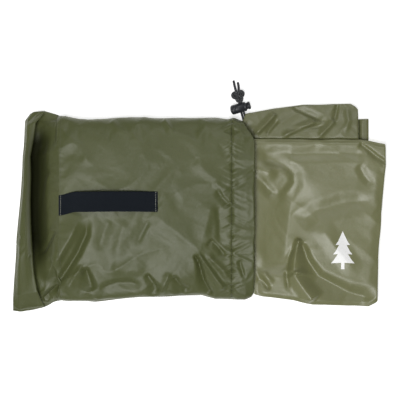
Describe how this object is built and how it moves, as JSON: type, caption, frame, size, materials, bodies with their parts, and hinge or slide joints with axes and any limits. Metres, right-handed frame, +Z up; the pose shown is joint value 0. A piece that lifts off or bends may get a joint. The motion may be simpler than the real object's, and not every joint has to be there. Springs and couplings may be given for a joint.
{
  "type": "bivy bag in its stuff sack",
  "caption": "Bivy bag folded flat and half pushed into its flat drawcord stuff sack, with a webbing carry handle, a folded base flap and a barrel cord lock on a knotted drawcord.",
  "frame": {"origin": "on the ground under the middle of the whole piece, the cord and its lock apart", "axes": "+X from the sack's base towards the folded bag, +Y towards the side where the drawcord comes out, +Z up"},
  "size_m": [0.471, 0.2896, 0.0421],
  "materials": {
    "sack_nylon": "satin",
    "bag_nylon": "satin",
    "floor_nylon": "satin",
    "dark_thread": "matte",
    "pale_thread": "matte",
    "webbing": "matte",
    "cord": "matte",
    "lock_plastic": "gloss",
    "spring_steel": "satin",
    "seam_tape": "satin",
    "print_ink": "matte"
  },
  "bodies": {
    "sack": {"sack_front_panel": "sack_nylon", "sack_back_panel": "sack_nylon", "sack_base_panel": "sack_nylon", "sack_side_seam": "sack_nylon", "drawcord_casing": "sack_nylon", "casing_stitching": "dark_thread", "base_seam_stitching": "dark_thread", "webbing_handle": "webbing", "handle_stitching": "pale_thread", "drawcord_loop": "cord", "drawcord_leads": "cord", "drawcord_knot": "cord", "drawcord_tails": "cord"},
    "bivy": {"bivy_top_sheet": "bag_nylon", "bivy_floor_sheet": "floor_nylon", "bivy_hood": "bag_nylon", "hood_hem": "bag_nylon", "bivy_seam_tape": "seam_tape", "printed_mark": "print_ink"},
    "cord_lock": {"cord_lock_body": "lock_plastic", "cord_lock_spring": "spring_steel"},
    "lock_button": {"cord_lock_button": "lock_plastic"}
  },
  "joints": [
    {"name": "bivy_pull_out", "type": "slide", "parent": "sack", "child": "bivy", "axis": [1, 0, 0], "range_m": [0, 0.26]},
    {"name": "cord_lock_slide", "type": "slide", "parent": "sack", "child": "cord_lock", "axis": [0.2756, -0.9613, 0], "range_m": [0, 0.002]},
    {"name": "lock_button_press", "type": "slide", "parent": "cord_lock", "child": "lock_button", "axis": [-0.9613, -0.2756, 0], "range_m": [0, 0.0025], "stiffness_N_per_m": 400, "springref_m": -0.003, "deforming": ["cord_lock_spring"]}
  ]
}
